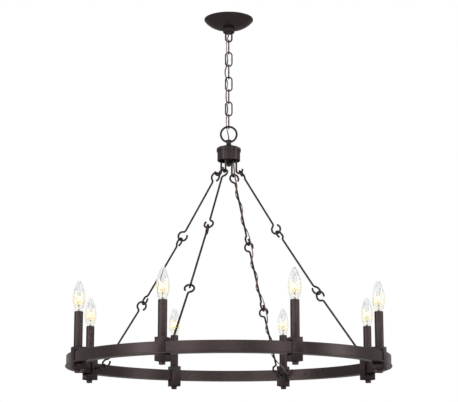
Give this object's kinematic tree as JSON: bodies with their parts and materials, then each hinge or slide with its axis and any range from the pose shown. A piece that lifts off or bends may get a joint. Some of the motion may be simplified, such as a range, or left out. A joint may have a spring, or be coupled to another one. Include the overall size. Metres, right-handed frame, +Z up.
{
  "type": "chandelier",
  "caption": "Round wheel chandelier on a chain: a dark metal rim with candle lamps in blocks, hung by jointed hooked rods from a domed hub.",
  "frame": {"origin": "middle of the ceiling plane, on the axis of the chain, where the strap and the canopy meet the ceiling", "axes": "+Z up along the chain, -Y the side that faces the viewer, the two ceiling screws on X"},
  "size_m": [0.9139, 0.914, 1.0659],
  "materials": {
    "bronze": "dark oil-rubbed bronze, satin",
    "plated_steel": "zinc plated",
    "bulb_glass": "clear",
    "socket_plastic": "black phenolic, matt",
    "wire_insulation": "soft plastic",
    "cord_jacket": "brown translucent flexible plastic"
  },
  "bodies": {
    "ceiling_mount": {"ceiling_crossbar": "plated_steel", "box_screws": "plated_steel", "ceiling_nipple": "plated_steel", "nipple_lock_nut": "plated_steel", "canopy_loop": "bronze", "supply_cord": "cord_jacket"},
    "canopy": {"canopy": "bronze"},
    "collar": {"collar_nut": "bronze"},
    "link_1": {"chain_link_1": "bronze"},
    "link_2": {"chain_link_2": "bronze"},
    "link_3": {"chain_link_3": "bronze"},
    "link_4": {"chain_link_4": "bronze"},
    "link_5": {"chain_link_5": "bronze"},
    "link_6": {"chain_link_6": "bronze"},
    "link_7": {"chain_link_7": "bronze"},
    "hub_and_wheel": {"hub_loop": "bronze", "hub_cap": "bronze", "hub_cup": "bronze", "hook_plate": "bronze", "hub_finial": "bronze", "hub_hooks": "bronze", "arm_a_rod_1": "bronze", "arm_a_rod_2": "bronze", "arm_a_rod_3": "bronze", "arm_b_rod_1": "bronze", "arm_b_rod_2": "bronze", "arm_b_rod_3": "bronze", "arm_c_rod_1": "bronze", "arm_c_rod_2": "bronze", "arm_c_rod_3": "bronze", "arm_d_rod_1": "bronze", "arm_d_rod_2": "bronze", "arm_d_rod_3": "bronze", "wheel_rim": "bronze", "rim_cover": "bronze", "splice_plate": "plated_steel", "seam_screws": "bronze", "rim_wiring": "wire_insulation", "wheel_eyes": "bronze", "block_1": "bronze", "block_2": "bronze", "block_3": "bronze", "block_4": "bronze", "block_5": "bronze", "block_6": "bronze", "block_7": "bronze", "block_8": "bronze", "block_finials": "bronze", "candle_nipples": "plated_steel", "candle_sockets": "socket_plastic", "candle_sleeves": "bronze", "arm_cord": "cord_jacket"},
    "bulb_1": {"bulb_1": "bulb_glass"},
    "bulb_2": {"bulb_2": "bulb_glass"},
    "bulb_3": {"bulb_3": "bulb_glass"},
    "bulb_4": {"bulb_4": "bulb_glass"},
    "bulb_5": {"bulb_5": "bulb_glass"},
    "bulb_6": {"bulb_6": "bulb_glass"},
    "bulb_7": {"bulb_7": "bulb_glass"},
    "bulb_8": {"bulb_8": "bulb_glass"}
  },
  "joints": [
    {"name": "canopy_slide", "type": "slide", "parent": "ceiling_mount", "child": "canopy", "axis": [0, 0, -1], "range_m": [0, 0.034]},
    {"name": "collar_turn", "type": "hinge", "parent": "canopy", "child": "collar", "pos_m": [0, 0, -0.034], "axis": [0, 0, 1], "continuous": true},
    {"name": "link_1_swing", "type": "hinge", "parent": "ceiling_mount", "child": "link_1", "pos_m": [0, 0, -0.0686], "axis": [1, 0, 0], "range_deg": [-10, 10], "deforming": ["supply_cord"]},
    {"name": "link_2_swing", "type": "hinge", "parent": "link_1", "child": "link_2", "pos_m": [0, 0, -0.1058], "axis": [0, 1, 0], "range_deg": [-10, 10], "deforming": ["supply_cord"]},
    {"name": "link_3_swing", "type": "hinge", "parent": "link_2", "child": "link_3", "pos_m": [0, 0, -0.1435], "axis": [1, 0, 0], "range_deg": [-10, 10], "deforming": ["supply_cord"]},
    {"name": "link_4_swing", "type": "hinge", "parent": "link_3", "child": "link_4", "pos_m": [0, 0, -0.1812], "axis": [0, 1, 0], "range_deg": [-10, 10], "deforming": ["supply_cord"]},
    {"name": "link_5_swing", "type": "hinge", "parent": "link_4", "child": "link_5", "pos_m": [0, 0, -0.2189], "axis": [1, 0, 0], "range_deg": [-10, 10], "deforming": ["supply_cord"]},
    {"name": "link_6_swing", "type": "hinge", "parent": "link_5", "child": "link_6", "pos_m": [0, 0, -0.2566], "axis": [0, 1, 0], "range_deg": [-10, 10], "deforming": ["supply_cord"]},
    {"name": "link_7_swing", "type": "hinge", "parent": "link_6", "child": "link_7", "pos_m": [0, 0, -0.2943], "axis": [1, 0, 0], "range_deg": [-10, 10], "deforming": ["supply_cord"]},
    {"name": "hub_swing", "type": "hinge", "parent": "link_7", "child": "hub_and_wheel", "pos_m": [0, 0, -0.332], "axis": [0, 1, 0], "range_deg": [-10, 10], "deforming": ["supply_cord"]},
    {"name": "bulb_1_turn", "type": "hinge", "parent": "hub_and_wheel", "child": "bulb_1", "pos_m": [0.40697, 0.16857, -0.88], "axis": [0, 0, 1], "continuous": true},
    {"name": "bulb_2_turn", "type": "hinge", "parent": "hub_and_wheel", "child": "bulb_2", "pos_m": [0.16857, 0.40697, -0.88], "axis": [0, 0, 1], "continuous": true},
    {"name": "bulb_3_turn", "type": "hinge", "parent": "hub_and_wheel", "child": "bulb_3", "pos_m": [-0.16857, 0.40697, -0.88], "axis": [0, 0, 1], "continuous": true},
    {"name": "bulb_4_turn", "type": "hinge", "parent": "hub_and_wheel", "child": "bulb_4", "pos_m": [-0.40697, 0.16857, -0.88], "axis": [0, 0, 1], "continuous": true},
    {"name": "bulb_5_turn", "type": "hinge", "parent": "hub_and_wheel", "child": "bulb_5", "pos_m": [-0.40697, -0.16857, -0.88], "axis": [0, 0, 1], "continuous": true},
    {"name": "bulb_6_turn", "type": "hinge", "parent": "hub_and_wheel", "child": "bulb_6", "pos_m": [-0.16857, -0.40697, -0.88], "axis": [0, 0, 1], "continuous": true},
    {"name": "bulb_7_turn", "type": "hinge", "parent": "hub_and_wheel", "child": "bulb_7", "pos_m": [0.16857, -0.40697, -0.88], "axis": [0, 0, 1], "continuous": true},
    {"name": "bulb_8_turn", "type": "hinge", "parent": "hub_and_wheel", "child": "bulb_8", "pos_m": [0.40697, -0.16857, -0.88], "axis": [0, 0, 1], "continuous": true}
  ]
}
